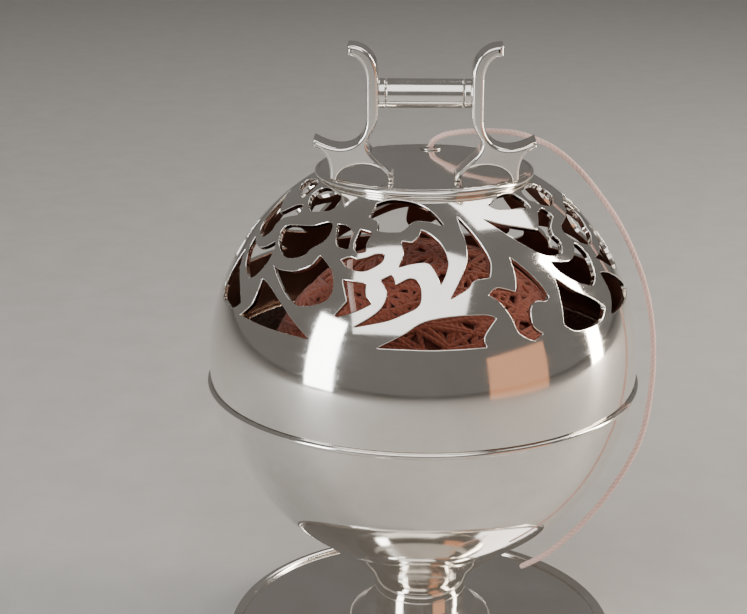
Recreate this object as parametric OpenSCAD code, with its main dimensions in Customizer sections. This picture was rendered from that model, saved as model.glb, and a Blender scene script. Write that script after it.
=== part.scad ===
// String box: a pierced globe on a spreading foot, with a lift-off lid, a roller handle
// and a ball of string whose free end leaves through the lid.
// Millimetres, +Z up, origin on the table under the globe's centre.

/* [Globe] */
// Outside diameter of the globe
globe_d = 100; // [98:1:104]
// Thickness of the globe's wall
wall_t = 1.2; // [1:0.1:1.6]
// Height of the globe's centre above the table
globe_z = 75; // [75:1:76]
// Height of the joint between bowl and lid, measured down from the globe's centre
seam_drop = 4; // [3:0.5:5]
// Diameter of the half-round wire around the bowl's mouth
rim_wire_d = 1.4; // [1.2:0.1:2]
// Height of the bezel that the lid slips over
bezel_h = 9; // [7:0.5:10]

/* [Top plate] */
// Radius of the flat plate that closes the dome
plate_r = 23.9; // [23.5:0.1:24.5]
// Thickness of the plate
plate_t = 1.5; // [1.2:0.1:2]
// Height of the plate's underside above the globe's centre
plate_rise = 44; // [43.8:0.1:44.2]

/* [Handle] */
// Depth of the two brackets, front to back
bracket_d = 8; // [6:0.5:9]
// Distance from the globe's axis forward to the brackets' middle
handle_y = 11.5; // [9:0.5:11.5]
// Height of the roller's axis above the plate
roller_h = 18.7; // [18:0.1:20]
// Diameter of the roller and its collars
roller_d = 6.4; // [5:0.1:7]
// Diameter of the roller's pin
pin_d = 2.5; // [2:0.1:3]

/* [Foot] */
// Outside radius of the foot
foot_r = 47.6; // [46:0.2:50]
// Height of the foot's edge
foot_edge_h = 4.5; // [4:0.1:5]
// Radius of the neck under the globe
neck_r = 11; // [10:0.5:12]

/* [String] */
// Diameter of the string
string_d = 1.3; // [1:0.1:1.5]
// Diameter of the ball of string
ball_d = 76; // [60:1:78]

/* [Hidden] */

fine = 160;
medium = 64;
small = 32;

globe_r = globe_d / 2;
inner_r = globe_r - wall_t;
seam_z = globe_z - seam_drop;
lid_gap = 0.05;
plate_z = globe_z + plate_rise;
plate_top = plate_z + plate_t;
slip_gap = 0.4;
bezel_gap = 0.04;

neck_z = 10;
neck_top = 15;
neck_wall = 2;
skirt_r = 28;

rim_bead_r = 1.5;
rim_wall = 2;
foot_t = 1.2;
foot_flat_r = 18.5;
foot_flat_z = 6;
moulding_r = 17.5;
moulding_top_r = 13.7;

toe_in = [6.6, 7.9];
toe_out = [19.2, 20.6];
arch_mid = 13.55;
arch_h = 3.5;
strap_in = 10.1;
strap_out = 12.7;
horn_tip = [24.4, 8.4];
pin_depth = 1.6;
collar_t = 1.6;
end_play = 0.15;
pin_gap = 0.05;

ball_gap = 0.4;
ball_z = globe_z - (inner_r - ball_d / 2) + ball_gap;
outlet = [1.5, 19];
bush_r = 2;
bush_hole_r = 1.1;
bush_flange_r = 2.6;
bush_flange_t = 0.4;

// Openings of one pierced panel, as [longitude, latitude] in degrees on the globe
panel_count = 3;
openings = [
  [[-23, 54], [-23, 58.5], [-17, 60.3], [-8, 60.2], [0, 58.5], [5, 55.5], [8, 52.2], [2, 53.6],
   [-4, 53.6], [-9, 50.4], [-17.5, 50.2], [-18.5, 53]],
  [[-1, 51], [2, 50], [6, 47], [8, 42.5], [7, 39], [5.2, 36.2], [4.2, 39], [1.5, 41.8], [-3, 41.7],
   [-7.8, 40.5], [-6.6, 44], [-7.8, 47.6], [-4, 47.3], [-1.8, 49]],
  [[14.3, 55], [18, 50.5], [21, 45], [21.8, 41], [20.3, 37.3], [15.5, 37], [13, 35], [7.8, 32.6],
   [11, 37], [14.2, 42], [15.2, 47], [14.6, 51]],
  [[-27.2, 41], [-24.5, 42.1], [-21.8, 41.8], [-18.6, 42.6], [-15.9, 43.7], [-13, 43.8], [-13.2, 41.9],
   [-15.5, 40.2], [-18.5, 38.9], [-22.1, 38.9], [-24.8, 39.6]],
  [[-24.5, 50], [-19.5, 49.5], [-20.3, 46], [-19.5, 44], [-22, 43.4], [-24.5, 45]],
  [[-35.1, 50.5], [-30.5, 50.5], [-26.8, 48.7], [-26.7, 46.1], [-26.2, 44.1], [-30.6, 44.5], [-33.6, 47.9]],
  [[-24.5, 36], [-17, 35.8], [-16.5, 33], [-14.3, 31], [-18, 29], [-23, 27], [-24.5, 27], [-21.5, 31]],
  [[-7, 36.5], [-4, 37.8], [-1.5, 37], [-0.5, 34], [-1.2, 31], [-5, 29], [-10, 27], [-18.5, 24.9],
   [-14, 27.8], [-11.2, 30.5], [-10.3, 34], [-12.8, 37], [-9.5, 38.6], [-8, 36]],
  [[-11.5, 20.6], [-5, 24], [0, 27], [7, 28.3], [17, 28.3], [20, 27.3], [18, 25.5], [16, 23],
   [16.5, 20.7], [3, 20.6]],
  [[19, 33], [22, 34.6], [27.5, 33], [29, 37], [29.2, 42], [33, 38.5], [36.5, 34], [38, 30.5],
   [36.5, 29.6], [33, 30], [30.6, 28], [30.6, 24], [33, 22], [30, 20.7], [26, 23], [24.5, 27], [22, 31]],
  [[25, 53.5], [33, 51], [45, 48], [47.5, 48], [51.5, 50.6], [54.9, 52.4], [59, 52.8], [60.7, 51.1],
   [60.7, 49.6], [56.1, 48.2], [53.5, 46.9], [52.6, 44.7], [53.5, 42.5], [51, 40], [45.2, 40.2],
   [40, 42.4], [33, 47.4]],
  [[30.9, 57.7], [33.5, 56], [39.3, 55.3], [48, 54.4], [52, 54.2], [52.7, 55.7], [51.7, 57.9],
   [49, 59.9], [41.7, 60.3], [37.5, 59.6]],
  [[44, 38.6], [52, 37.4], [57, 38.6], [60.5, 41], [63, 39], [63.5, 35], [61, 31], [57.5, 29.4],
   [51, 32], [46, 35.5]],
  [[42.8, 34.5], [48, 30.3], [55, 26.5], [59.5, 23.2], [55, 20.6], [45, 20.6], [40.5, 23], [42, 29]],
  [[-63.2, 55.8], [-63.9, 57.4], [-62.5, 59.4], [-58.1, 60.3], [-51.5, 60.3], [-44.9, 59.3],
   [-42, 56.3], [-43.5, 54], [-48.8, 52.8], [-53.3, 52.2], [-58.1, 53.4]],
  [[-60.5, 45.3], [-58.5, 46.5], [-53.6, 47.3], [-46, 48.5], [-40, 50.5], [-37.4, 50], [-36.2, 47.6],
   [-36.7, 45.4], [-38.2, 44], [-40.7, 42.2], [-41.9, 40.3], [-46.6, 38.6], [-50.8, 38.6],
   [-56.6, 40.9], [-60, 43.4]],
  [[-52.3, 35.2], [-49.1, 34.9], [-43.4, 35.5], [-39.6, 36.8], [-37, 38.4], [-35.5, 41.2], [-31.1, 39.1],
   [-28.6, 37.3], [-26.9, 33.4], [-27.5, 31], [-29.6, 29.5], [-33.8, 28.1], [-38, 27.9], [-42.6, 29.8],
   [-47.6, 32.6]],
  [[-54.6, 31.2], [-54.1, 26], [-55.4, 23.3], [-58.6, 20.4], [-49.5, 20.4], [-39.6, 20.4],
   [-30.6, 20.4], [-33.4, 22], [-37.5, 24.2], [-43, 27.2], [-49.9, 30.2]]
];

// Route of the string inside the globe, from the ball to the outlet
lead_route = [
  [-15, -25, 93.5], [-16, -21, 99], [-16, -16.5, 104.5], [-14.5, -9, 109.5], [-11, -1, 113],
  [-6, 8, 115.3], [-1.5, 14.5, 116.6], [1.2, 18, 118], [1.5, 19, 119.6], [1.5, 19, 120.9]
];

// Route of the string outside, from the outlet to its free end
tail_route = [
  [1.5, 19, 120.9], [1.5, 19, 121.3], [2.4, 18.7, 122.7], [5, 17.6, 124.2],
  [9, 15.5, 125.3], [13, 13, 126], [17, 10.8, 126.4], [21, 9, 126.4],
  [25, 7, 125.6], [29.5, 4.6, 123.9], [34, 2.2, 120.7],
  [38.4, 0, 116.2], [44.6, -3, 107.8], [49.3, -6, 98], [51.6, -9, 89.5], [52.4, -12, 81],
  [51.9, -15, 72.4], [50.2, -18, 63.8], [47, -20.4, 56.8], [41.8, -22.4, 49], [35.2, -24, 41.5],
  [28.6, -25.2, 36], [22.8, -26, 33]
];
string_sides = 8;
ring_step = 2.6;

silver = [0.83, 0.82, 0.8];
worn_silver = [0.74, 0.73, 0.71];
pitch_brown = [0.25, 0.17, 0.12];
baize_green = [0.12, 0.26, 0.16];
string_pink = [0.86, 0.68, 0.63];

// Points of a cubic curve through its two ends, with two guiding points
function curve(a, b, c, d, steps = 8) = [
  for (i = [0:steps])
    let (t = i / steps, s = 1 - t)
    s * s * s * a + 3 * s * s * t * b + 3 * s * t * t * c + t * t * t * d
];

// Outline of one bracket in its own plane: outwards, then up from the plate
function bracket_outline() = concat(
  [[toe_in[0], 0]],
  curve([toe_in[0], 0.8], [8.2, 3.6], [12.8, 5.6], [12.4, 8.8]),
  curve([12.4, 8.8], [11.4, 10.8], [strap_in, 12], [strap_in, 15]),
  curve([strap_in, 22.4], [strap_in, 26.6], [12.4, 29.6], [16.7, 29.6]),
  curve([16.7, 27.3], [14.3, 27.4], [strap_out, 25], [strap_out, 22]),
  curve([strap_out, 13.5], [strap_out, 8.2], [17.2, 5], [horn_tip[0] - 0.2, horn_tip[1] + 0.8], 12),
  curve([horn_tip[0], horn_tip[1] - 0.8], [22.8, 7.2], [20.8, 6], [toe_out[1], 2]),
  [[toe_out[1], 0]],
  [for (i = [0:12]) [
    arch_mid + (toe_out[0] - arch_mid) * cos(180 * i / 12),
    arch_h * sin(180 * i / 12)
  ]]
);

// Smooth path through hand-set points, with rings about ring_step apart
function blend_at(p, q, r, s, t) = 0.5 * (
  2 * q + (r - p) * t + (2 * p - 5 * q + 4 * r - s) * t * t
  + (3 * q - p - 3 * r + s) * t * t * t
);
function path_points(route) = concat(
  [for (i = [0:len(route) - 2])
    let (
      q = route[i],
      r = route[i + 1],
      p = i == 0 ? 2 * q - r : route[i - 1],
      s = i == len(route) - 2 ? 2 * r - q : route[i + 2],
      steps = max(1, round(norm(r - q) / ring_step))
    )
    for (k = [0:steps - 1]) blend_at(p, q, r, s, k / steps)],
  [route[len(route) - 1]]
);
function unit(v) = v / norm(v);
function heading(path, i) = unit(path[min(i + 1, len(path) - 1)] - path[max(i - 1, 0)]);
function carried(side, along) = unit(side - (side * along) * along);
function sides_along(path, i, side) =
  i == len(path) ? []
  : let (now = carried(side, heading(path, i)))
    concat([now], sides_along(path, i + 1, now));

// Round tube swept along a route
module tube(route, d) {
  path = path_points(route);
  side = sides_along(path, 0, carried([0, 1, 0.1], heading(path, 0)));
  n = string_sides;
  last = len(path) - 1;
  rings = [for (i = [0:last])
    let (across = cross(heading(path, i), side[i]))
    for (k = [0:n - 1])
      path[i] + d / 2 * (cos(360 * k / n) * side[i] + sin(360 * k / n) * across)];
  walls = [for (i = [0:last - 1]) for (k = [0:n - 1])
    let (a = i * n + k, b = i * n + (k + 1) % n)
    [b, a, a + n, b + n]];
  polyhedron(rings, concat([[for (k = [0:n - 1]) k]], walls, [[for (k = [n - 1:-1:0]) last * n + k]]));
}

// Place on a sphere at a longitude and latitude, counted from the front
function on_globe(p, r) = r * [cos(p[1]) * sin(p[0]), -cos(p[1]) * cos(p[0]), sin(p[1])];
function mean_of(points) = [
  for (k = [0:1]) (max([for (p = points) p[k]]) + min([for (p = points) p[k]])) / 2
];

// Cutter for one opening, standing square to the globe at the opening's middle
module opening_cutter(points) {
  mid = mean_of(points);
  east = [cos(mid[0]), sin(mid[0]), 0];
  north = [-sin(mid[1]) * sin(mid[0]), sin(mid[1]) * cos(mid[0]), cos(mid[1])];
  flat = [for (p = points) let (q = on_globe(p, globe_r)) [q * east, q * north]];
  rotate([0, 0, mid[0]])
    rotate([90 - mid[1], 0, 0])
      translate([0, 0, globe_r * 0.8])
        linear_extrude(globe_r * 0.4)
          polygon(flat);
}

module lathe(points) {
  rotate_extrude($fn = fine) polygon(points);
}

module foot() {
  edge_r = foot_r - rim_bead_r - rim_wall / 2 - 0.3;
  edge_z = foot_edge_h - rim_bead_r + 0.4;
  top = curve([edge_r, edge_z], [34, edge_z + 0.1], [24, foot_flat_z - 1.4], [foot_flat_r, foot_flat_z], 10);
  color(silver)
    lathe(concat(
      top,
      [[neck_r - neck_wall, foot_flat_z], [neck_r - neck_wall, foot_flat_z - foot_t]],
      [for (i = [len(top) - 1:-1:0]) top[i] - [0, foot_t]]
    ));
}

module foot_rim() {
  edge_r = foot_r - rim_bead_r - rim_wall / 2 - 0.3;
  color(silver)
    rotate_extrude($fn = fine)
      union() {
        translate([edge_r, 0]) square([rim_wall, foot_edge_h - rim_bead_r]);
        difference() {
          translate([foot_r - rim_bead_r, foot_edge_h - rim_bead_r]) circle(rim_bead_r, $fn = small);
          translate([edge_r - 1, 0]) square([1, foot_edge_h + 1]);
        }
      }
}

module foot_filling() {
  edge_r = foot_r - rim_bead_r - rim_wall / 2 - 0.3;
  color(pitch_brown)
    translate([0, 0, 1])
      cylinder(h = 1.1, r = edge_r, $fn = fine);
}

module base_disc() {
  edge_r = foot_r - rim_bead_r - rim_wall / 2 - 0.3;
  color(baize_green)
    translate([0, 0, 0.3])
      cylinder(h = 0.7, r = edge_r, $fn = fine);
}

module foot_moulding() {
  swell = curve([moulding_r, foot_flat_z], [moulding_r + 0.4, foot_flat_z + 1.6],
    [moulding_top_r + 2.4, neck_z - 1.6], [moulding_top_r, neck_z], 8);
  color(silver)
    lathe(concat(
      swell,
      [[neck_r - neck_wall, neck_z], [neck_r - neck_wall, foot_flat_z]]
    ));
}

module neck_collar() {
  color(silver)
    translate([0, 0, neck_z])
      difference() {
        cylinder(h = neck_top - neck_z, r = neck_r, $fn = medium);
        translate([0, 0, -1]) cylinder(h = neck_top - neck_z + 2, r = neck_r - neck_wall, $fn = medium);
      }
}

module stem_skirt() {
  join_z = globe_z - sqrt(globe_r * globe_r - skirt_r * skirt_r);
  rise = join_z - neck_top;
  top = [skirt_r, join_z];
  low = [neck_r + 0.1, neck_top + 0.32 * rise];
  flare = [neck_r + 0.45 * (skirt_r - neck_r), neck_top + 0.55 * rise];
  inside = top + [-skirt_r, globe_z - join_z] / globe_r;
  bore_r = neck_r - neck_wall;
  color(silver)
    rotate_extrude($fn = fine)
      difference() {
        polygon(concat(
          curve([neck_r, neck_top], low, flare, top, 24),
          [inside, [bore_r, join_z], [bore_r, neck_top]]
        ));
        translate([0, globe_z]) circle(globe_r, $fn = fine);
      }
}

module bowl() {
  color(silver)
    difference() {
      translate([0, 0, globe_z]) sphere(globe_r, $fn = fine);
      translate([0, 0, globe_z]) sphere(inner_r, $fn = fine);
      translate([0, 0, seam_z + globe_d / 2]) cube([globe_d * 2, globe_d * 2, globe_d], center = true);
    }
}

module bowl_rim() {
  wire_r = rim_wire_d / 2;
  color(silver)
    rotate_extrude($fn = fine)
      difference() {
        translate([globe_r, seam_z - wire_r]) circle(wire_r, $fn = small);
        translate([0, globe_z]) circle(globe_r, $fn = fine);
      }
}

module bowl_bezel() {
  outer = inner_r - slip_gap;
  color(worn_silver)
    rotate_extrude($fn = fine)
      difference() {
        intersection() {
          translate([0, globe_z]) circle(inner_r - bezel_gap, $fn = fine);
          translate([outer - 1, seam_z - 3]) square([3, bezel_h]);
        }
        translate([outer, seam_z]) square([3, bezel_h]);
      }
}

module lid_dome() {
  color(silver)
    difference() {
      translate([0, 0, globe_z]) sphere(globe_r, $fn = fine);
      translate([0, 0, globe_z]) sphere(inner_r, $fn = fine);
      translate([0, 0, seam_z + lid_gap - globe_d / 2])
        cube([globe_d * 2, globe_d * 2, globe_d], center = true);
      translate([0, 0, plate_z + globe_d / 2]) cube([globe_d * 2, globe_d * 2, globe_d], center = true);
      for (k = [0:panel_count - 1])
        translate([0, 0, globe_z])
          rotate([0, 0, 360 / panel_count * k])
            for (points = openings) opening_cutter(points);
    }
}

module top_plate() {
  color(silver)
    translate([0, 0, plate_z])
      difference() {
        cylinder(h = plate_t, r = plate_r, $fn = fine);
        translate([outlet[0], outlet[1], -1]) cylinder(h = plate_t + 2, r = bush_r, $fn = small);
      }
}

module plate_rim() {
  wire_r = 0.8;
  color(silver)
    rotate_extrude($fn = fine)
      difference() {
        translate([plate_r + 0.2, plate_top - wire_r]) circle(wire_r, $fn = small);
        translate([plate_r - 5, plate_z - 2]) square([5, plate_t + 4]);
      }
}

module outlet_bush() {
  color(worn_silver)
    translate([outlet[0], outlet[1], plate_z])
      difference() {
        union() {
          cylinder(h = plate_t, r = bush_r, $fn = small);
          translate([0, 0, plate_t]) cylinder(h = bush_flange_t, r = bush_flange_r, $fn = small);
        }
        translate([0, 0, -1]) cylinder(h = plate_t + 3, r = bush_hole_r, $fn = small);
      }
}

// side is 1 for the right bracket and -1 for the left one
module bracket(side) {
  color(silver)
    translate([0, -handle_y, plate_top])
      mirror([side < 0 ? 1 : 0, 0, 0])
        difference() {
          translate([0, bracket_d / 2, 0])
            rotate([90, 0, 0])
              linear_extrude(bracket_d)
                polygon(bracket_outline());
          translate([strap_in - 1, 0, roller_h])
            rotate([0, 90, 0])
              cylinder(h = pin_depth + 1, d = pin_d, $fn = small);
        }
}

module bracket_left() {
  bracket(-1);
}

module bracket_right() {
  bracket(1);
}

// Round piece on the roller's axis, from one x to another
module on_axis(x0, x1, outer_d, bore_d = 0) {
  translate([x0, -handle_y, plate_top + roller_h])
    rotate([0, 90, 0])
      difference() {
        cylinder(h = x1 - x0, d = outer_d, $fn = medium);
        if (bore_d > 0) translate([0, 0, -1]) cylinder(h = x1 - x0 + 2, d = bore_d, $fn = medium);
      }
}

module roller_pin() {
  reach = strap_in + pin_depth;
  color(worn_silver) on_axis(-reach, reach, pin_d);
}

module collar_left() {
  color(silver) on_axis(-strap_in, -strap_in + collar_t, roller_d, pin_d);
}

module collar_right() {
  color(silver) on_axis(strap_in - collar_t, strap_in, roller_d, pin_d);
}

module roller() {
  half = strap_in - collar_t - end_play;
  color(silver) on_axis(-half, half, roller_d, pin_d + 2 * pin_gap);
}

module string_ball() {
  color(string_pink)
    translate([0, 0, ball_z]) sphere(d = ball_d, $fn = fine);
}

module string_lead() {
  color(string_pink) tube(lead_route, string_d);
}

module string_tail() {
  color(string_pink) tube(tail_route, string_d);
}

foot();
foot_rim();
foot_filling();
base_disc();
foot_moulding();
neck_collar();
stem_skirt();
bowl();
bowl_rim();
bowl_bezel();
lid_dome();
top_plate();
plate_rim();
outlet_bush();
bracket_left();
bracket_right();
roller_pin();
collar_left();
collar_right();
roller();
string_ball();
string_lead();
string_tail();
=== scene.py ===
"""Globe string box: fine meshes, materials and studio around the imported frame."""

import math
import random

import bpy
from mathutils import Matrix, Vector, geometry, kdtree


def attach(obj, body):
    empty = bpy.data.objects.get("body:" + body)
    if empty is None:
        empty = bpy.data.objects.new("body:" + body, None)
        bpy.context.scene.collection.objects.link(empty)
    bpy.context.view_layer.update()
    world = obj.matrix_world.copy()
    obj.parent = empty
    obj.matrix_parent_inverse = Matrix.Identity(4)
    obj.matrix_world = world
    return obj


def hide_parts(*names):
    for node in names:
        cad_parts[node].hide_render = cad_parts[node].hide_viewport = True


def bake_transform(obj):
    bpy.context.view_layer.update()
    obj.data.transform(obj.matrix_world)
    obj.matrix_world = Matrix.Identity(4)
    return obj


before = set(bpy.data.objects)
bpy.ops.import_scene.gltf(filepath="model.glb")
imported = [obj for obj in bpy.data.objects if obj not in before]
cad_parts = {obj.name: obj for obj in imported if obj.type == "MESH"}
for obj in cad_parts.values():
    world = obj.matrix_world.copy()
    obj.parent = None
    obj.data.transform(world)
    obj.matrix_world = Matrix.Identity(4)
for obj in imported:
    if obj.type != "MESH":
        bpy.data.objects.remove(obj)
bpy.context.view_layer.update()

MM = 0.001
SEGMENTS = 224
GLOBE_R = 50.0
WALL = 1.2
GLOBE_Z = 75.0
SEAM_Z = 71.0
PLATE_Z = 119.0
PLATE_TOP = 120.5
HANDLE_Y = -11.5
ROLLER_Z = 139.2
NECK_R = 11
NECK_TOP = 15
BORE_R = 9
CAMERA_PITCH = 0.312
CAMERA_TURN = 0.033
random.seed(7)


# ---------------------------------------------------------------- camera

camera_data = bpy.data.cameras.new("camera")
camera = bpy.data.objects.new("camera", camera_data)
bpy.context.scene.collection.objects.link(camera)
bpy.context.scene.camera = camera
camera_data.sensor_width = 36
camera_data.lens = 75.66
camera_data.clip_start = 0.01
camera.location = (0, -0.350, 0.1996)
camera.rotation_euler = (math.pi / 2 - CAMERA_PITCH, 0, CAMERA_TURN)


# ---------------------------------------------------------------- materials


def material(name, metallic, specular=0.5):
    """A new material and its node tree's parts."""
    made = bpy.data.materials.new(name)
    made.use_nodes = True
    tree = made.node_tree
    shader = tree.nodes["Principled BSDF"]
    shader.inputs["Metallic"].default_value = metallic
    shader.inputs["Specular IOR Level"].default_value = specular
    return made, tree, shader


def coordinates(tree, kind="Object", scale=(1, 1, 1)):
    source = tree.nodes.new("ShaderNodeTexCoord")
    mapping = tree.nodes.new("ShaderNodeMapping")
    mapping.inputs["Scale"].default_value = scale
    tree.links.new(source.outputs[kind], mapping.inputs["Vector"])
    return mapping.outputs["Vector"]


def noise(tree, vector, scale, detail=3.0, rough=0.5, distortion=0.0):
    node = tree.nodes.new("ShaderNodeTexNoise")
    node.inputs["Scale"].default_value = scale
    node.inputs["Detail"].default_value = detail
    node.inputs["Roughness"].default_value = rough
    node.inputs["Distortion"].default_value = distortion
    tree.links.new(vector, node.inputs["Vector"])
    return node.outputs["Fac"]


def ramp(tree, factor, stops):
    node = tree.nodes.new("ShaderNodeValToRGB")
    ends = node.color_ramp.elements
    while len(ends) < len(stops):
        ends.new(0.5)
    for end, (place, colour) in zip(ends, stops):
        end.position = place
        end.color = (*colour, 1)
    tree.links.new(factor, node.inputs["Fac"])
    return node.outputs["Color"]


def span(tree, factor, low, high, start=0.3, end=0.7):
    """The factor, carried from start..end to low..high."""
    node = tree.nodes.new("ShaderNodeMapRange")
    node.inputs["From Min"].default_value = start
    node.inputs["From Max"].default_value = end
    node.inputs["To Min"].default_value = low
    node.inputs["To Max"].default_value = high
    tree.links.new(factor, node.inputs["Value"])
    return node.outputs["Result"]


def combine(tree, a, b, operation):
    node = tree.nodes.new("ShaderNodeMath")
    node.operation = operation
    for side, value in enumerate((a, b)):
        if isinstance(value, float):
            node.inputs[side].default_value = value
        else:
            tree.links.new(value, node.inputs[side])
    return node.outputs["Value"]


def bump(tree, shader, height, distance, strength=1.0, under=None):
    node = tree.nodes.new("ShaderNodeBump")
    node.inputs["Distance"].default_value = distance
    node.inputs["Strength"].default_value = strength
    tree.links.new(height, node.inputs["Height"])
    if under is not None:
        tree.links.new(under, node.inputs["Normal"])
    tree.links.new(node.outputs["Normal"], shader.inputs["Normal"])
    return node.outputs["Normal"]


def polished_silver(name, bright, dull, gloss, stretch=(1, 1, 1)):
    """Silver with faint tarnish, wipe marks and hairline scratches."""
    made, tree, shader = material(name, 1.0)
    plain = coordinates(tree)
    wiped = coordinates(tree, scale=stretch)
    cloud = noise(tree, plain, 38, 4, 0.55, 0.6)
    tree.links.new(ramp(tree, cloud, [(0.3, dull), (0.62, bright)]), shader.inputs["Base Color"])
    smear = noise(tree, wiped, 120, 5, 0.65, 0.3)
    hair = noise(tree, wiped, 2600, 2, 0.7)
    smeared = combine(tree, smear, 0.7, "MULTIPLY")
    scratched = combine(tree, hair, 0.3, "MULTIPLY")
    worn = combine(tree, smeared, scratched, "ADD")
    tree.links.new(span(tree, worn, *gloss, 0.36, 0.66), shader.inputs["Roughness"])
    wave = noise(tree, plain, 42, 1, 0.4)
    raised = bump(tree, shader, wave, 0.00006)
    bump(tree, shader, hair, 0.0000012, 0.6, raised)
    return made


def worn_metal(name):
    """Rubbed silver inside the lid and at the pin."""
    made, tree, shader = material(name, 1.0)
    rubbed = coordinates(tree, scale=(1, 1, 14))
    fine = noise(tree, rubbed, 420, 4, 0.7)
    tone = ramp(tree, fine, [(0.3, (0.5, 0.47, 0.43)), (0.7, (0.76, 0.74, 0.7))])
    tree.links.new(tone, shader.inputs["Base Color"])
    tree.links.new(span(tree, fine, 0.2, 0.38), shader.inputs["Roughness"])
    bump(tree, shader, fine, 0.00001, 0.5)
    return made


def painted_shade_lining_material(name):
    """Inside of the globe, hardly shining, its brown colour painted shade and a painted reflection of the
    pink string.
    """
    made, tree, shader = material(name, 1.0)
    cloud = noise(tree, coordinates(tree), 60, 4, 0.6)
    tone = ramp(tree, cloud, [(0.3, (0.22, 0.12, 0.085)), (0.7, (0.38, 0.22, 0.16))])
    tree.links.new(tone, shader.inputs["Base Color"])
    tree.links.new(span(tree, cloud, 0.38, 0.52), shader.inputs["Roughness"])
    return made


def string_material(name, tone, contrast, relief):
    """Soft twisted cotton. UV x counts plies across, UV y runs along in millimetres."""
    made, tree, shader = material(name, 0.0, 0.15)
    shader.inputs["Sheen Weight"].default_value = 0.25
    shader.inputs["Sheen Roughness"].default_value = 0.6
    flat = tree.nodes.new("ShaderNodeUVMap")
    flat.uv_map = "ply"
    split = tree.nodes.new("ShaderNodeSeparateXYZ")
    tree.links.new(flat.outputs["UV"], split.inputs["Vector"])
    turn = combine(tree, split.outputs["X"], 2 * math.pi, "MULTIPLY")
    wave = tree.nodes.new("ShaderNodeMath")
    wave.operation = "COSINE"
    tree.links.new(turn, wave.inputs[0])
    crown = span(tree, wave.outputs["Value"], 0.0, 1.0, -1.0, 1.0)
    streaks = tree.nodes.new("ShaderNodeMapping")
    streaks.inputs["Scale"].default_value = (9, 0.5, 1)
    tree.links.new(flat.outputs["UV"], streaks.inputs["Vector"])
    fibre = noise(tree, streaks.outputs["Vector"], 1.0, 3, 0.6)
    patches = noise(tree, coordinates(tree), 90, 3, 0.6)
    # Ply crowns are painted lighter and the grooves between plies darker as painted shade; the fibre streaks
    # and patches are the cotton's own tone.
    painted_groove_shade = combine(tree, crown, 0.45, "MULTIPLY")
    hairy = combine(tree, fibre, 0.4, "MULTIPLY")
    groove_shade_and_fibre = combine(tree, painted_groove_shade, hairy, "ADD")
    groove_shade_and_fibre = combine(tree, groove_shade_and_fibre, combine(tree, patches, 0.25, "MULTIPLY"), "ADD")
    low, mid, high = (tuple(c * k for c in tone) for k in (1 - contrast, 1 - 0.3 * contrast, 1.0))
    dye_and_groove_shade = ramp(tree, groove_shade_and_fibre, [(0.22, low), (0.5, mid), (0.85, high)])
    tree.links.new(dye_and_groove_shade, shader.inputs["Base Color"])
    tree.links.new(span(tree, fibre, 0.78, 0.95), shader.inputs["Roughness"])
    height = combine(tree, crown, combine(tree, fibre, 0.5, "MULTIPLY"), "ADD")
    bump(tree, shader, height, 0.00016, relief)
    return made


def grained(name, low, high, scale, rough, distance, sheen=0.0):
    """Matt mottled material for resin, baize, the core of the ball and the floor."""
    made, tree, shader = material(name, 0.0, 0.3)
    shader.inputs["Sheen Weight"].default_value = sheen
    plain = coordinates(tree)
    grain = noise(tree, plain, scale, 5, 0.7)
    tree.links.new(ramp(tree, grain, [(0.35, low), (0.65, high)]), shader.inputs["Base Color"])
    tree.links.new(span(tree, grain, *rough), shader.inputs["Roughness"])
    bump(tree, shader, grain, distance)
    return made


BRIGHT = (0.93, 0.905, 0.865)
DULL = (0.84, 0.80, 0.745)
globe_silver = polished_silver("globe_silver", BRIGHT, DULL, (0.035, 0.11), (1, 1, 5))
cast_silver = polished_silver("cast_silver", BRIGHT, (0.8, 0.75, 0.69), (0.07, 0.19), (4, 1, 1))
worn_silver = worn_metal("worn_silver")
# The lining's brown colour is painted shade and a painted reflection of the string inside the globe.
painted_shade_lining = painted_shade_lining_material("painted_shade_lining")
tail_string = string_material("tail_string", (0.93, 0.64, 0.57), 0.22, 0.25)
# The ball's string is the tail's pale pink string painted dark red-brown, with deeper groove shading: painted
# shade inside the globe.
shaded_ball_string = string_material("shaded_ball_string", (0.40, 0.105, 0.06), 0.45, 0.25)
resin = grained("resin", (0.05, 0.03, 0.02), (0.12, 0.07, 0.045), 300, (0.45, 0.75), 0.0001)
# The core is the ball's string painted darker still: painted shade in the gaps between the windings.
painted_shade_wound_core = grained("painted_shade_wound_core", (0.11, 0.028, 0.018), (0.27, 0.075, 0.045), 420, (0.8, 0.95), 0.0003)
baize = grained("baize", (0.025, 0.075, 0.045), (0.06, 0.15, 0.085), 1400, (0.85, 0.98), 0.00025, 0.4)


# ---------------------------------------------------------------- mesh tools


def facing(points, faces, normals):
    """The faces, each turned to look the way its corners' normals do."""
    made = []
    for face in faces:
        a, b, c = (Vector(points[i]) for i in face[:3])
        if len(face) > 3:
            b, c = c, Vector(points[face[3]])
            across = (Vector(points[face[2]]) - a).cross(c - Vector(points[face[1]]))
        else:
            across = (b - a).cross(c - a)
        lean = sum((Vector(normals[i]) for i in face), Vector())
        made.append(face if across.dot(lean) >= 0 else face[::-1])
    return made


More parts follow.
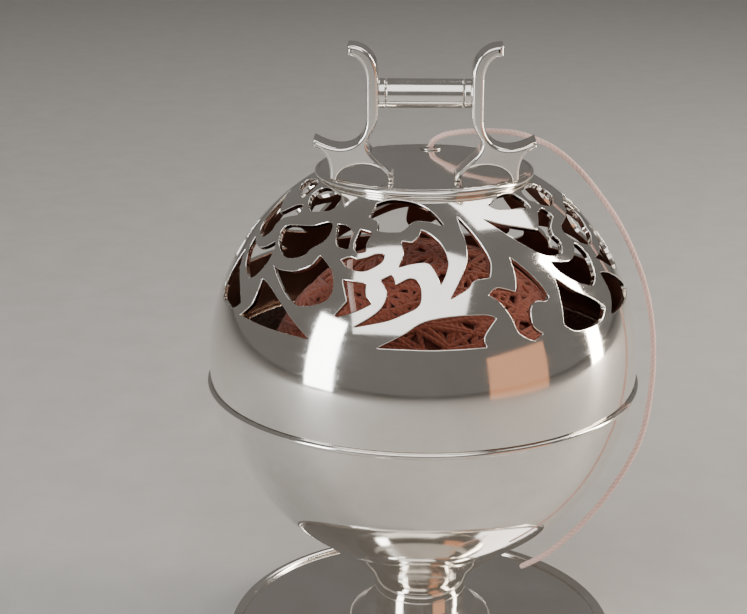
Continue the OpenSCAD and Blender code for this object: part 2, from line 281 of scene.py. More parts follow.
def build(name, points, faces, body, paint, nodes=(), normals=None, ply=None):
    """A smooth piece from points in millimetres, riding on a body."""
    if normals is not None:
        faces = facing(points, faces, normals)
    mesh = bpy.data.meshes.new(name)
    mesh.from_pydata([tuple(MM * c for c in p) for p in points], [], faces)
    mesh.polygons.foreach_set("use_smooth", [True] * len(mesh.polygons))
    if ply is not None:
        layer = mesh.uv_layers.new(name="ply")
        for face, corners in zip(mesh.polygons, ply):
            for loop, corner in zip(face.loop_indices, corners):
                layer.data[loop].uv = corner
    mesh.materials.append(paint)
    if normals is not None:
        mesh.normals_split_custom_set_from_vertices([tuple(n) for n in normals])
    piece = bpy.data.objects.new(name, mesh)
    bpy.context.scene.collection.objects.link(piece)
    if body:
        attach(piece, body)
    if nodes:
        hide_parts(*nodes)
    return piece


def line_inside(piece):
    """Lining with painted shade and painted string reflection, for the faces on the inner side of the globe's
    wall.
    """
    middle = Vector((0, 0, MM * GLOBE_Z))
    piece.data.materials.append(painted_shade_lining)
    for face in piece.data.polygons:
        if (face.center - middle).length < MM * (GLOBE_R - 0.75 * WALL):
            face.material_index = 1


def bezier(a, b, c, d, steps):
    a, b, c, d = (Vector(p) for p in (a, b, c, d))
    made = []
    for i in range(steps + 1):
        t = i / steps
        s = 1 - t
        made.append(s**3 * a + 3 * s * s * t * b + 3 * s * t * t * c + t**3 * d)
    return made


def arc(centre, radius, start, end, steps):
    """Points from one angle to another, in degrees."""
    made = []
    for i in range(steps + 1):
        a = math.radians(start + (end - start) * i / steps)
        made.append(Vector((centre[0] + radius * math.cos(a), centre[1] + radius * math.sin(a))))
    return made


def soften(points, radius, steps=4, least=0.45):
    """A closed outline with its sharp corners turned on small curves."""
    made = []
    for i, raw in enumerate(points):
        p = Vector(raw)
        u = Vector(points[i - 1]) - p
        v = Vector(points[(i + 1) % len(points)]) - p
        turn = math.pi - u.angle(v)
        reach = min(radius, 0.45 * u.length, 0.45 * v.length)
        if turn < least:
            made.append(p)
            continue
        a, b = p + u.normalized() * reach, p + v.normalized() * reach
        for k in range(steps + 1):
            t = k / steps
            made.append((1 - t) ** 2 * a + 2 * t * (1 - t) * p + t * t * b)
    return made


def outline_normals(points):
    """Outward normals of a counter-clockwise outline, led by the longer neighbour."""
    made = []
    count = len(points)
    for i in range(count):
        before = points[i] - points[i - 1]
        after = points[(i + 1) % count] - points[i]
        lean = Vector((before.y, -before.x)) * before.length + Vector((after.y, -after.x)) * after.length
        made.append(lean.normalized())
    return made


def counter_clockwise(points):
    area = 0.0
    for i, p in enumerate(points):
        q = points[(i + 1) % len(points)]
        area += p.x * q.y - q.x * p.y
    return points if area > 0 else points[::-1]


def turned(name, outline, body, paint, nodes, place=None, segments=SEGMENTS):
    """A closed outline of (radius, height), turned round the z axis or round another one."""
    outline = counter_clockwise([Vector(p) for p in outline])
    leans = outline_normals(outline)
    place = place or Matrix.Identity(4)
    spin = place.to_3x3()
    points, normals, rows = [], [], []
    for p, lean in zip(outline, leans):
        row = []
        shared = p.x < 1e-6
        for k in range(1 if shared else segments):
            a = 2 * math.pi * k / segments
            row.append(len(points))
            points.append(place @ Vector((p.x * math.cos(a), p.x * math.sin(a), p.y)))
            side = Vector((0, 0, math.copysign(1, lean.y))) if shared else Vector(
                (lean.x * math.cos(a), lean.x * math.sin(a), lean.y)
            )
            normals.append(spin @ side)
        rows.append(row if not shared else row * segments)
    faces = []
    for i, row in enumerate(rows):
        other = rows[(i + 1) % len(rows)]
        for k in range(segments):
            m = (k + 1) % segments
            corners = []
            for corner in (row[k], row[m], other[m], other[k]):
                if corner not in corners:
                    corners.append(corner)
            if len(corners) > 2:
                faces.append(corners)
    return build(name, points, faces, body, paint, nodes, normals)


def smooth_path(route, spacing, closed=False, corner=math.pi):
    """Even points along a smooth curve through the given points. A turn over corner stays sharp."""
    route = [Vector(p) for p in route]
    count = len(route)
    pulls = []
    for i, q in enumerate(route):
        p = route[i - 1] if i > 0 or closed else 2 * q - route[1]
        r = route[(i + 1) % count] if i < count - 1 or closed else 2 * q - route[-2]
        sharp = (q - p).angle(r - q) > corner
        pulls.append(Vector((0, 0, 0)) if sharp else (r - p) / 2)
    dense = []
    for i in range(count if closed else count - 1):
        q, r = route[i], route[(i + 1) % count]
        out, back = pulls[i], pulls[(i + 1) % count]
        for k in range(24):
            t = k / 24
            u = t * t * (3 - 2 * t)
            dense.append(q * (1 - u) + r * u + out * (t * (1 - t) ** 2) - back * (t * t * (1 - t)))
    dense.append(route[0].copy() if closed else route[-1].copy())
    lengths = [0.0]
    for a, b in zip(dense, dense[1:]):
        lengths.append(lengths[-1] + (b - a).length)
    steps = max(4, round(lengths[-1] / spacing))
    made, at = [], 0
    for i in range(steps + (0 if closed else 1)):
        want = lengths[-1] * i / steps
        while at < len(lengths) - 2 and lengths[at + 1] < want:
            at += 1
        run = lengths[at + 1] - lengths[at]
        made.append(dense[at].lerp(dense[at + 1], (want - lengths[at]) / run if run > 0 else 0))
    return made


def strand(name, path, radius, sides, body, paint, nodes=(), pitch=5.0, depth=0.0):
    """A tube along a path, laid from three twisted plies."""
    points, along, across = [], [], None
    plies = 3
    run = 0.0
    last = len(path) - 1
    for i, p in enumerate(path):
        heading = (path[min(i + 1, last)] - path[max(i - 1, 0)]).normalized()
        if across is None:
            across = heading.orthogonal()
        across = (across - heading * across.dot(heading)).normalized()
        other = heading.cross(across)
        if i:
            run += (p - path[i - 1]).length
        along.append(run)
        laid = 2 * math.pi * run / pitch if depth else 0.0
        shrink = 1.0
        if depth and last - i < 3:
            shrink = (0.55, 0.85, 0.96)[last - i]
        for k in range(sides):
            a = 2 * math.pi * k / sides
            r = radius * shrink * (1 - depth * (0.5 - 0.5 * math.cos(plies * a)))
            points.append(p + r * (math.cos(a + laid) * across + math.sin(a + laid) * other))
    faces, ply = [], []
    for i in range(last):
        for k in range(sides):
            m = (k + 1) % sides
            faces.append((i * sides + k, i * sides + m, (i + 1) * sides + m, (i + 1) * sides + k))
            twist = [0.0 if depth else -plies * along[j] / pitch for j in (i, i + 1)]
            left, right = plies * k / sides, plies * (k + 1) / sides
            ply.append((
                (left + twist[0], along[i]), (right + twist[0], along[i]),
                (right + twist[1], along[i + 1]), (left + twist[1], along[i + 1]),
            ))
    for ring, order in ((0, -1), (last, 1)):
        cap = [ring * sides + k for k in range(sides)][::order]
        faces.append(cap)
        ply.append([(plies * k / sides, along[ring]) for k in range(sides)])
    return build(name, points, faces, body, paint, nodes, None, ply)


# ---------------------------------------------------------------- string

STRING_D = 1.3
TAIL_ROUTE = [
    (1.5, 19, 120.9), (1.5, 19, 121.3), (2.4, 18.7, 122.7), (5, 17.6, 124.2), (9, 15.5, 125.3), (13, 13, 126),
    (17, 10.8, 126.4), (21, 9, 126.4), (25, 7, 125.6), (29.5, 4.6, 123.9), (34, 2.2, 120.7),
    (38.4, 0, 116.2), (44.6, -3, 107.8), (49.3, -6, 98), (51.6, -9, 89.5), (52.4, -12, 81),
    (51.9, -15, 72.4), (50.2, -18, 63.8), (47, -20.4, 56.8), (41.8, -22.4, 49), (35.2, -24, 41.5),
    (28.6, -25.2, 36), (22.8, -26, 33),
]
LEAD_ROUTE = [
    (-15, -25, 93.5), (-16, -21, 99), (-16, -16.5, 104.5), (-14.5, -9, 109.5), (-11, -1, 113),
    (-6, 8, 115.3), (-1.5, 14.5, 116.6), (1.2, 18, 118), (1.5, 19, 119.6), (1.5, 19, 120.9),
]

tail_path = smooth_path(TAIL_ROUTE, 0.3)
tail = strand("string_end", tail_path, STRING_D / 2, 18, "lid", tail_string, ["string_tail"], 3.4, 0.06)
lead = strand(
    "string_inside", smooth_path(LEAD_ROUTE, 0.3), STRING_D / 2, 18, None, tail_string,
    ["string_lead"], 3.4, 0.06,
)
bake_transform(lead)


def ball_of_string(centre, radius, turns, steps):
    """One long winding whose loops lean more and more towards level, over a close core."""
    path = []
    lay = radius - STRING_D / 2
    total = turns * steps
    for i in range(total + 1):
        t = i / steps
        share = i / total
        tilt = math.radians(90 - 74 * share + 4 * math.sin(t * 0.61))
        swing = 2.39996 * t * 0.37 + 0.25 * math.sin(t * 1.7)
        lean = math.sin(tilt)
        axis = Vector((lean * math.cos(swing), lean * math.sin(swing), math.cos(tilt)))
        u = Vector((-math.sin(swing), math.cos(swing), 0))
        v = axis.cross(u)
        a = 2 * math.pi * t
        lift = lay - 0.75 * (1 - share) + 0.3 * math.sin(3.1 * t) * (1 - share)
        path.append(Vector(centre) + (math.cos(a) * u + math.sin(a) * v) * lift)
    return path


BALL_CENTRE = (0, 0, 64.6)
BALL_R = 38.0
windings = ball_of_string(BALL_CENTRE, BALL_R, 150, 64)
# The windings use the painted-shade copy of the string.
strand(
    "string_ball_windings", windings, STRING_D / 2, 7, "ball", shaded_ball_string,
    ["string_ball"], 4.2,
)
core = arc((0, BALL_CENTRE[2]), BALL_R - 1.5 * STRING_D, -90, 90, 48)
core[0].x = core[-1].x = 0
turned("string_ball_core", core, "ball", painted_shade_wound_core, ())


# ---------------------------------------------------------------- pierced lid

OPENINGS = [
    [(-23, 54), (-23, 58.5), (-17, 60.3), (-8, 60.2), (0, 58.5), (5, 55.5), (8, 52.2), (2, 53.6),
     (-4, 53.6), (-9, 50.4), (-17.5, 50.2), (-18.5, 53)],
    [(-1, 51), (2, 50), (6, 47), (8, 42.5), (7, 39), (5.2, 36.2), (4.2, 39), (1.5, 41.8), (-3, 41.7),
     (-7.8, 40.5), (-6.6, 44), (-7.8, 47.6), (-4, 47.3), (-1.8, 49)],
    [(14.3, 55), (18, 50.5), (21, 45), (21.8, 41), (20.3, 37.3), (15.5, 37), (13, 35), (7.8, 32.6),
     (11, 37), (14.2, 42), (15.2, 47), (14.6, 51)],
    [(-27.2, 41), (-24.5, 42.1), (-21.8, 41.8), (-18.6, 42.6), (-15.9, 43.7), (-13, 43.8), (-13.2, 41.9),
     (-15.5, 40.2), (-18.5, 38.9), (-22.1, 38.9), (-24.8, 39.6)],
    [(-24.5, 50), (-19.5, 49.5), (-20.3, 46), (-19.5, 44), (-22, 43.4), (-24.5, 45)],
    [(-35.1, 50.5), (-30.5, 50.5), (-26.8, 48.7), (-26.7, 46.1), (-26.2, 44.1), (-30.6, 44.5), (-33.6, 47.9)],
    [(-24.5, 36), (-17, 35.8), (-16.5, 33), (-14.3, 31), (-18, 29), (-23, 27), (-24.5, 27), (-21.5, 31)],
    [(-7, 36.5), (-4, 37.8), (-1.5, 37), (-0.5, 34), (-1.2, 31), (-5, 29), (-10, 27), (-18.5, 24.9),
     (-14, 27.8), (-11.2, 30.5), (-10.3, 34), (-12.8, 37), (-9.5, 38.6), (-8, 36)],
    [(-11.5, 20.6), (-5, 24), (0, 27), (7, 28.3), (17, 28.3), (20, 27.3), (18, 25.5), (16, 23),
     (16.5, 20.7), (3, 20.6)],
    [(19, 33), (22, 34.6), (27.5, 33), (29, 37), (29.2, 42), (33, 38.5), (36.5, 34), (38, 30.5),
     (36.5, 29.6), (33, 30), (30.6, 28), (30.6, 24), (33, 22), (30, 20.7), (26, 23), (24.5, 27), (22, 31)],
    [(25, 53.5), (33, 51), (45, 48), (47.5, 48), (51.5, 50.6), (54.9, 52.4), (59, 52.8), (60.7, 51.1),
     (60.7, 49.6), (56.1, 48.2), (53.5, 46.9), (52.6, 44.7), (53.5, 42.5), (51, 40), (45.2, 40.2),
     (40, 42.4), (33, 47.4)],
    [(30.9, 57.7), (33.5, 56), (39.3, 55.3), (48, 54.4), (52, 54.2), (52.7, 55.7), (51.7, 57.9),
     (49, 59.9), (41.7, 60.3), (37.5, 59.6)],
    [(44, 38.6), (52, 37.4), (57, 38.6), (60.5, 41), (63, 39), (63.5, 35), (61, 31), (57.5, 29.4),
     (51, 32), (46, 35.5)],
    [(42.8, 34.5), (48, 30.3), (55, 26.5), (59.5, 23.2), (55, 20.6), (45, 20.6), (40.5, 23), (42, 29)],
    [(-63.2, 55.8), (-63.9, 57.4), (-62.5, 59.4), (-58.1, 60.3), (-51.5, 60.3), (-44.9, 59.3),
     (-42, 56.3), (-43.5, 54), (-48.8, 52.8), (-53.3, 52.2), (-58.1, 53.4)],
    [(-60.5, 45.3), (-58.5, 46.5), (-53.6, 47.3), (-46, 48.5), (-40, 50.5), (-37.4, 50), (-36.2, 47.6),
     (-36.7, 45.4), (-38.2, 44), (-40.7, 42.2), (-41.9, 40.3), (-46.6, 38.6), (-50.8, 38.6),
     (-56.6, 40.9), (-60, 43.4)],
    [(-52.3, 35.2), (-49.1, 34.9), (-43.4, 35.5), (-39.6, 36.8), (-37, 38.4), (-35.5, 41.2), (-31.1, 39.1),
     (-28.6, 37.3), (-26.9, 33.4), (-27.5, 31), (-29.6, 29.5), (-33.8, 28.1), (-38, 27.9), (-42.6, 29.8),
     (-47.6, 32.6)],
    [(-54.6, 31.2), (-54.1, 26), (-55.4, 23.3), (-58.6, 20.4), (-49.5, 20.4), (-39.6, 20.4),
     (-30.6, 20.4), (-33.4, 22), (-37.5, 24.2), (-43, 27.2), (-49.9, 30.2)],
]
PANELS = 3
EDGE = 0.2


def direction(lon, lat):
    a, b = math.radians(lon), math.radians(lat)
    return Vector((math.cos(b) * math.sin(a), -math.cos(b) * math.cos(a), math.sin(b)))


def flatten(way):
    """A direction from the globe's centre, laid on a plane without changing angles."""
    return Vector((way.x, way.y)) * (2 * GLOBE_R / (1 + way.z))


def within(point, loop):
    inside = False
    for i, p in enumerate(loop):
        q = loop[i - 1]
        if (p.y > point.y) != (q.y > point.y):
            if point.x < (q.x - p.x) * (point.y - p.y) / (q.y - p.y) + p.x:
                inside = not inside
    return inside


class Shell:
    """Points, normals and faces of the lid's shell."""

    def __init__(self):
        self.points, self.normals, self.faces = [], [], []

    def add(self, point, normal):
        self.points.append(point + Vector((0, 0, GLOBE_Z)))
        self.normals.append(normal)
        return len(self.points) - 1

    def stitch(self, ring, other):
        for k in range(len(ring)):
            m = (k + 1) % len(ring)
            self.faces.append((ring[k], ring[m], other[m], other[k]))


def pierced_dome():
    shell = Shell()
    inner_r = GLOBE_R - WALL
    holes = []
    for panel in range(PANELS):
        for corners in OPENINGS:
            ways = [direction(lon + 360 / PANELS * panel, lat) for lon, lat in corners]
            loop = [p.normalized() for p in smooth_path([GLOBE_R * w for w in ways], 0.45, True, 0.95)]
            flat = [flatten(p) for p in loop]
            area = sum(p.cross(flat[(i + 1) % len(flat)]) for i, p in enumerate(flat))
            holes.append(loop if area > 0 else loop[::-1])

    edge_ways, hole_rings, flat_holes = [], [], []
    for loop in holes:
        count = len(loop)
        sides = []
        for i, p in enumerate(loop):
            sides.append((loop[(i + 1) % count] - loop[i - 1]).cross(p).normalized())
        rings = []
        steps = 4
        for k in range(steps + 1):
            a = math.pi / 2 * k / steps
            rings.append((EDGE * (1 - math.sin(a)), EDGE * (1 - math.cos(a)), a))
        outer, inner = [], []
        for out, down, a in rings:
            ways = [(p + s * out / GLOBE_R).normalized() for p, s in zip(loop, sides)]
            if not outer:
                edge_ways.append(ways)
                flat_holes.append([flatten(w) for w in ways])
            outer.append([
                shell.add(w * (GLOBE_R - down), (w * math.cos(a) - s * math.sin(a)).normalized())
                for w, s in zip(ways, sides)
            ])
            inner.append([
                shell.add(w * (inner_r + down), (-w * math.cos(a) - s * math.sin(a)).normalized())
                for w, s in zip(ways, sides)
            ])
        for ring, other in zip(outer, outer[1:]):
            shell.stitch(other, ring)
        shell.stitch(inner[-1], outer[-1])
        for ring, other in zip(inner, inner[1:]):
            shell.stitch(ring, other)
        hole_rings.append((outer[0], inner[0]))

    low = math.degrees(math.asin((SEAM_Z + 0.05 + EDGE - GLOBE_Z) / GLOBE_R))
    high = math.degrees(math.asin((PLATE_Z - GLOBE_Z) / GLOBE_R))
    around = 300
    rims = []
    for lat in (low, high):
        ways = [direction(360 * k / around, lat) for k in range(around)]
        rims.append((
            ways,
            [shell.add(w * GLOBE_R, w) for w in ways],
            [shell.add(w * inner_r, -w) for w in ways],
        ))

    def level_ring(radius, z, lean):
        made = []
        for k in range(around):
            side = direction(360 * k / around, 0)
            normal = (side * lean[0] + Vector((0, 0, lean[1]))).normalized()
            made.append(shell.add(side * radius + Vector((0, 0, z)), normal))
        return made

    foot_z = SEAM_Z + 0.05 - GLOBE_Z
    foot_out = math.sqrt(GLOBE_R**2 - foot_z**2)
    foot_in = math.sqrt(inner_r**2 - foot_z**2)
    seam = [
        rims[0][1],
        level_ring(foot_out - EDGE * 0.3, foot_z + EDGE * 0.3, (0.7, -0.7)),
        level_ring(foot_out - EDGE, foot_z, (0, -1)),
        level_ring(foot_in + EDGE, foot_z, (0, -1)),
        level_ring(foot_in, foot_z + EDGE, (-0.7, -0.7)),
        rims[0][2],
    ]
    for ring, other in zip(seam, seam[1:]):
        shell.stitch(other, ring)
    under_plate = PLATE_Z - GLOBE_Z
    crown = [rims[1][1], level_ring(math.sqrt(inner_r**2 - under_plate**2), under_plate, (0, 1))]
    crown.append(rims[1][2])
    for ring, other in zip(crown, crown[1:]):
        shell.stitch(ring, other)

    flat, edges, owners = [], [], []
    for ways, (outer, inner) in zip(edge_ways, hole_rings):
        start = len(flat)
        flat.extend(flatten(w) for w in ways)
        owners.extend(zip(outer, inner))
        edges.extend((start + i, start + (i + 1) % len(ways)) for i in range(len(ways)))
    for ways, outer, inner in rims:
        start = len(flat)
        flat.extend(flatten(w) for w in ways)
        owners.extend(zip(outer, inner))
        edges.extend((start + i, start + (i + 1) % len(ways)) for i in range(len(ways)))
    tree = kdtree.KDTree(len(flat))
    for i, p in enumerate(flat):
        tree.insert((p.x, p.y, 0), i)
    tree.balance()
    boxes = []
    for loop in flat_holes:
        xs, ys = [p.x for p in loop], [p.y for p in loop]
        boxes.append((min(xs), max(xs), min(ys), max(ys), loop))

    def in_hole(p):
        for x0, x1, y0, y1, loop in boxes:
            if x0 <= p.x <= x1 and y0 <= p.y <= y1 and within(p, loop):
                return True
        return False

    step = 1.5
    rows = round(math.radians(high - low) * GLOBE_R / step)
    for row in range(1, rows):
        lat = low + (high - low) * row / rows
        count = round(2 * math.pi * math.cos(math.radians(lat)) * GLOBE_R / step)
        for k in range(count):
            w = direction(360 * (k + 0.5 * (row % 2)) / count, lat)
            p = flatten(w)
            grow = 2 / (1 + w.z)
            if tree.find((p.x, p.y, 0))[2] < 0.55 * grow or in_hole(p):
                continue
            flat.append(p)
            owners.append((shell.add(w * GLOBE_R, w), shell.add(w * inner_r, -w)))

    made, _, triangles, origin, _, _ = geometry.delaunay_2d_cdt(flat, edges, [], 0, 1e-6)
    index = []
    for p, sources in zip(made, origin):
        if sources:
            index.append(owners[sources[0]])
            continue
        scale = 4 * GLOBE_R**2
        reach = p.length_squared
        w = Vector((4 * GLOBE_R * p.x, 4 * GLOBE_R * p.y, scale - reach)) / (scale + reach)
        index.append((shell.add(w * GLOBE_R, w), shell.add(w * inner_r, -w)))
    top_r = flatten(direction(0, high)).length
    for a, b, c in triangles:
        middle = (made[a] + made[b] + made[c]) / 3
        if middle.length < top_r * 0.999 or in_hole(middle):
            continue
        turn = (made[b] - made[a]).cross(made[c] - made[a])
        a, b, c = (a, b, c) if turn > 0 else (a, c, b)
        shell.faces.append((index[a][0], index[b][0], index[c][0]))
        shell.faces.append((index[a][1], index[c][1], index[b][1]))
    return build("pierced_dome", shell.points, shell.faces, "lid", globe_silver,
                 ["lid_dome"], shell.normals)


dome = pierced_dome()
line_inside(dome)


def round_plate():
    """Flat plate with the outlet's hole and a faint hand-flattened waviness."""
    shell = Shell()
    hole, rim, count = 2.0, 23.9, 200
    centre = Vector((1.5, 19))
    outer = [Vector((rim * math.cos(2 * math.pi * k / count), rim * math.sin(2 * math.pi * k / count)))
             for k in range(count)]
    inner = [centre + Vector((hole * math.cos(2 * math.pi * k / 40), hole * math.sin(2 * math.pi * k / 40)))
             for k in range(40)]
    flat = outer + inner
    edges = [(k, (k + 1) % count) for k in range(count)]
    edges += [(count + k, count + (k + 1) % 40) for k in range(40)]
    for i in range(-24, 25):
        for j in range(-24, 25):
            p = Vector((i + 0.5 * (j % 2), j * 0.9))
            if p.length < rim - 0.7 and (p - centre).length > hole + 0.5:
                flat.append(p)
    made, _, triangles, origin, _, _ = geometry.delaunay_2d_cdt(flat, edges, [], 0, 1e-6)

    def swell(p):
        fade = min(1, max(0, (rim - p.length) / 6)) * min(1, max(0, ((p - centre).length - hole) / 4))
        return 0.02 * fade * (math.sin(0.31 * p.x + 0.4) + math.sin(0.37 * p.y - 0.7) - 1)

    top, low = [], []
    for p in made:
        slope = [(swell(p + Vector(d) * 0.05) - swell(p - Vector(d) * 0.05)) / 0.1 for d in ((1, 0), (0, 1))]
        top.append(shell.add(Vector((p.x, p.y, PLATE_TOP - GLOBE_Z + swell(p))),
                             Vector((-slope[0], -slope[1], 1)).normalized()))
        low.append(shell.add(Vector((p.x, p.y, PLATE_Z - GLOBE_Z)), Vector((0, 0, -1))))
    back = {sources[0]: i for i, sources in enumerate(origin) if sources}
    for a, b, c in triangles:
        if ((made[a] + made[b] + made[c]) / 3 - centre).length < hole * 0.999:
            continue
        turn = (made[b] - made[a]).cross(made[c] - made[a])
        a, b, c = (a, b, c) if turn > 0 else (a, c, b)
        shell.faces.append((top[a], top[b], top[c]))
        shell.faces.append((low[a], low[c], low[b]))
    for a, b in edges:
        a, b = back[a], back[b]
        if made[a].length < rim * 0.99:
            a, b = b, a
        shell.faces.append((low[a], low[b], top[b], top[a]))
    piece = build("round_plate", shell.points, shell.faces, "lid", globe_silver, ["top_plate"])
    return piece


plate = round_plate()


# ---------------------------------------------------------------- turned pieces


def cut_circle(centre, radius, keep, steps=72):
    """A circle's points that keep() accepts, in one run."""
    points = arc(centre, radius, 0, 360, steps)[:-1]
    kept = [keep(p) for p in points]
    start = next(i for i in range(steps) if kept[i] and not kept[i - 1])
    return [points[(start + i) % steps] for i in range(steps) if kept[(start + i) % steps]]


def from_globe(p):
    return (Vector((p.x, p.y - GLOBE_Z))).length


FOOT_EDGE_R = 44.8
foot_top = bezier((FOOT_EDGE_R, 3.4), (34, 3.5), (24, 4.6), (18.5, 6), 40)
foot_under = [p - Vector((0, 1.2)) for p in foot_top[::-1]]
foot_side = soften([*foot_top, (BORE_R, 6), (BORE_R, 4.8), *foot_under], 0.15)
turned("foot_spun", foot_side, "base", globe_silver, ["foot"])

bead = [p for p in arc((46.1, 3), 1.5, -62, 150, 28)]
band = soften([(FOOT_EDGE_R, 0), (46.8, 0), *bead], 0.3)
turned("foot_band", band, "base", cast_silver, ["foot_rim"])

disc = soften([(0, 0.3), (FOOT_EDGE_R, 0.3), (FOOT_EDGE_R, 1.0), (0, 1.0)], 0.25)
turned("foot_baize", disc, "base", baize, ["base_disc"])
load = soften([(0, 1.0), (FOOT_EDGE_R, 1.0), (FOOT_EDGE_R, 2.1), (0, 2.1)], 0.2)
turned("foot_resin", load, "base", resin, ["foot_filling"])

moulding = bezier((17.5, 6), (17.9, 7.6), (16.1, 8.4), (13.7, 10), 24)
moulding = soften([*moulding, (BORE_R, 10), (BORE_R, 6)], 0.2)
turned("moulding", moulding, "base", cast_silver, ["foot_moulding"])
collar = soften([(BORE_R, 10), (NECK_R, 10), (NECK_R, NECK_TOP), (BORE_R, NECK_TOP)], 0.3)
turned("collar_ring", collar, "base", cast_silver, ["neck_collar"])

SKIRT_R = 28.0
skirt_z = GLOBE_Z - math.sqrt(GLOBE_R**2 - SKIRT_R**2)
rise = skirt_z - NECK_TOP
low = (NECK_R + 0.1, NECK_TOP + 0.32 * rise)
flare = (NECK_R + 0.45 * (SKIRT_R - NECK_R), NECK_TOP + 0.55 * rise)
skirt_out = bezier((NECK_R, NECK_TOP), low, flare, (SKIRT_R, skirt_z), 64)
lip = math.degrees(math.atan2(skirt_z - GLOBE_Z, SKIRT_R))
bore = math.degrees(math.atan2(-math.sqrt(GLOBE_R**2 - BORE_R**2), BORE_R))
seat = arc((0, GLOBE_Z), GLOBE_R, lip, bore, 40)
skirt = soften([*skirt_out, *seat[1:], (BORE_R, NECK_TOP)], 0.15)
turned("skirt", skirt, "base", globe_silver, ["stem_skirt"])

bowl_out = arc((0, GLOBE_Z), GLOBE_R, -90, math.degrees(math.asin((SEAM_Z - GLOBE_Z) / GLOBE_R)), 120)
mouth = math.degrees(math.asin((SEAM_Z - GLOBE_Z) / (GLOBE_R - WALL)))
bowl_in = arc((0, GLOBE_Z), GLOBE_R - WALL, mouth, -90, 90)
bowl_out[0].x = bowl_in[-1].x = 0
wall = soften([*bowl_out, *bowl_in], 0.15)
line_inside(turned("bowl_shell", wall, "base", globe_silver, ["bowl"]))

wire = cut_circle((GLOBE_R, SEAM_Z - 0.7), 0.7, lambda p: from_globe(p) >= GLOBE_R)
turned("bowl_wire", wire, "base", cast_silver, ["bowl_rim"])

bezel = [(47.4, 68), (48.25, 68), (48.43, 69.4), (48.59, 71), (48.4, 71), (48.4, 77), (47.4, 77)]
turned("bezel_ring", soften(bezel, 0.2), "base", worn_silver, ["bowl_bezel"])

plate_wire = cut_circle((24.1, PLATE_TOP - 0.8), 0.8, lambda p: p.x >= 23.9)
turned("plate_wire", plate_wire, "lid", cast_silver, ["plate_rim"])

bush = [(1.1, 119), (2, 119), (2, 120.5), (2.6, 120.5), (2.6, 120.9), (1.1, 120.9)]
turned("bush", soften(bush, 0.18), "lid", worn_silver, ["outlet_bush"],
       Matrix.Translation((1.5, 19, 0)), 64)

on_bar = Matrix.Translation((0, HANDLE_Y, ROLLER_Z)) @ Matrix.Rotation(math.pi / 2, 4, "Y")
turned("pin", soften([(0, -11.7), (1.25, -11.7), (1.25, 11.7), (0, 11.7)], 0.15), "lid",
       worn_silver, ["roller_pin"], on_bar, 64)
for name, start in (("collar_left", -10.1), ("collar_right", 8.5)):
    ring = [(1.25, start), (3.2, start), (3.2, start + 1.6), (1.25, start + 1.6)]
    turned(name + "_ring", soften(ring, 0.35), "lid", cast_silver, [name], on_bar, 96)
turned("bar", soften([(1.3, -8.35), (3.2, -8.35), (3.2, 8.35), (1.3, 8.35)], 0.3), "roller",
       cast_silver, ["roller"], on_bar, 128)


# ---------------------------------------------------------------- brackets


def bracket_outline():
    points = [Vector((6.6, 0))]
    for corners, steps in (
        (((6.6, 0.8), (8.2, 3.6), (12.8, 5.6), (12.4, 8.8)), 18),
        (((12.4, 8.8), (11.4, 10.8), (10.1, 12), (10.1, 15)), 14),
        (((10.1, 22.4), (10.1, 26.6), (12.4, 29.6), (16.7, 29.6)), 18),
        (((16.7, 27.3), (14.3, 27.4), (12.7, 25), (12.7, 22)), 16),
        (((12.7, 13.5), (12.7, 8.2), (17.2, 5), (24.2, 9.2)), 26),
        (((24.4, 7.6), (22.8, 7.2), (20.8, 6), (20.6, 2)), 16),
    ):
        points.extend(bezier(*corners, steps))
    points.append(Vector((20.6, 0)))
    for i in range(25):
        a = math.pi * i / 24
        points.append(Vector((13.55 + 5.65 * math.cos(a), 3.5 * math.sin(a))))
    kept = []
    for p in points:
        if not kept or (p - kept[-1]).length > 0.02:
            kept.append(p)
    return kept


def filled(outline):
    """Triangles that fill an outline, as indexes into it."""
    edges = [(i, (i + 1) % len(outline)) for i in range(len(outline))]
    made, _, triangles, origin, _, _ = geometry.delaunay_2d_cdt(outline, edges, [], 0, 1e-7)
    kept = []
    for triangle in triangles:
        middle = sum((made[i] for i in triangle), Vector((0, 0))) / 3
        if within(middle, outline) and all(origin[i] for i in triangle):
            kept.append(tuple(origin[i][0] for i in triangle))
    return kept


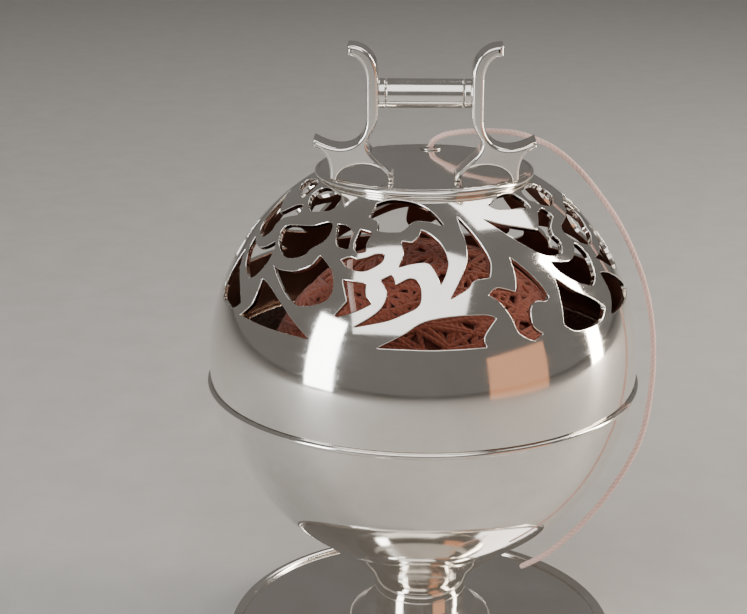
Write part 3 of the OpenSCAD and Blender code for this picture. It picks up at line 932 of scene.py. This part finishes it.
def cast_bracket(name, node, side):
    """The outline, cast deep, with its edges well rounded by wear and polish."""
    outline = counter_clockwise(soften(bracket_outline(), 0.9, 6))
    leans = outline_normals(outline)
    depth, round_off, steps = 8.0, 0.8, 7
    points, normals, rings, flats = [], [], [], []
    for half in (-1, 1):
        order = range(steps + 1) if half < 0 else range(steps, -1, -1)
        for k in order:
            a = math.pi / 2 * k / steps
            ring, flat_ring = [], []
            for p, lean in zip(outline, leans):
                q = p - lean * round_off * (1 - math.sin(a))
                q.y = max(q.y, 0)
                flat_ring.append(q)
                y = half * (depth / 2 - round_off * (1 - math.cos(a)))
                ring.append(len(points))
                points.append(Vector((side * q.x, HANDLE_Y + y, PLATE_TOP + q.y)))
                flat = lean * math.sin(a)
                normals.append(Vector((side * flat.x, half * math.cos(a), flat.y)))
            rings.append(ring)
            flats.append(flat_ring)
    faces = []
    count = len(outline)
    for ring, other in zip(rings, rings[1:]):
        for k in range(count):
            m = (k + 1) % count
            faces.append((ring[k], ring[m], other[m], other[k]))
    for ring, flat_ring in ((rings[0], flats[0]), (rings[-1], flats[-1])):
        faces.extend(tuple(ring[i] for i in triangle) for triangle in filled(flat_ring))
    return build(name, points, faces, "lid", cast_silver, [node], normals)


cast_bracket("cast_bracket_left", "bracket_left", -1)
cast_bracket("cast_bracket_right", "bracket_right", 1)


# ---------------------------------------------------------------- studio


def emitter(name, size, place, aim, power, colour):
    """A soft rectangular lamp."""
    data = bpy.data.lights.new(name, "AREA")
    data.shape = "RECTANGLE"
    data.size, data.size_y = size
    data.energy = power
    data.color = colour
    lamp = bpy.data.objects.new(name, data)
    bpy.context.scene.collection.objects.link(lamp)
    lamp.location = place
    lamp.rotation_euler = (Vector(aim) - Vector(place)).to_track_quat("-Z", "Y").to_euler()
    return lamp


AIM = (0, 0, 0.08)
emitter("window_left", (0.24, 0.5), (-0.66, -0.5, 0.26), AIM, 4.5, (0.95, 0.98, 1.0))
emitter("window_front", (1.25, 1.0), (-0.12, -0.7, 0.98), AIM, 8.0, (1.0, 0.98, 0.95))
emitter("key_right", (0.14, 0.7), (0.75, 0.14, 0.3), AIM, 8.0, (1.0, 0.9, 0.78))
emitter("warm_fill", (0.5, 0.34), (0.66, -0.56, 0.14), AIM, 0.4, (1.0, 0.4, 0.16))
emitter("top_soft", (0.7, 0.7), (0.5, 0.5, 1.2), AIM, 5.0, (1.0, 0.96, 0.92))

world = bpy.data.worlds.new("studio")
world.use_nodes = True
back = world.node_tree.nodes["Background"]
back.inputs["Color"].default_value = (0.17, 0.16, 0.15, 1)
back.inputs["Strength"].default_value = 1.0
bpy.context.scene.world = world

floor_mesh = bpy.data.meshes.new("floor")
floor_mesh.from_pydata([(-3, -3, 0), (3, -3, 0), (3, 3, 0), (-3, 3, 0)], [], [(0, 1, 2, 3)])
floor_paint = grained("floor_paint", (0.46, 0.45, 0.435), (0.50, 0.49, 0.475), 60, (0.55, 0.65), 0.00002)
floor_mesh.materials.append(floor_paint)
floor = bpy.data.objects.new("floor", floor_mesh)
bpy.context.scene.collection.objects.link(floor)
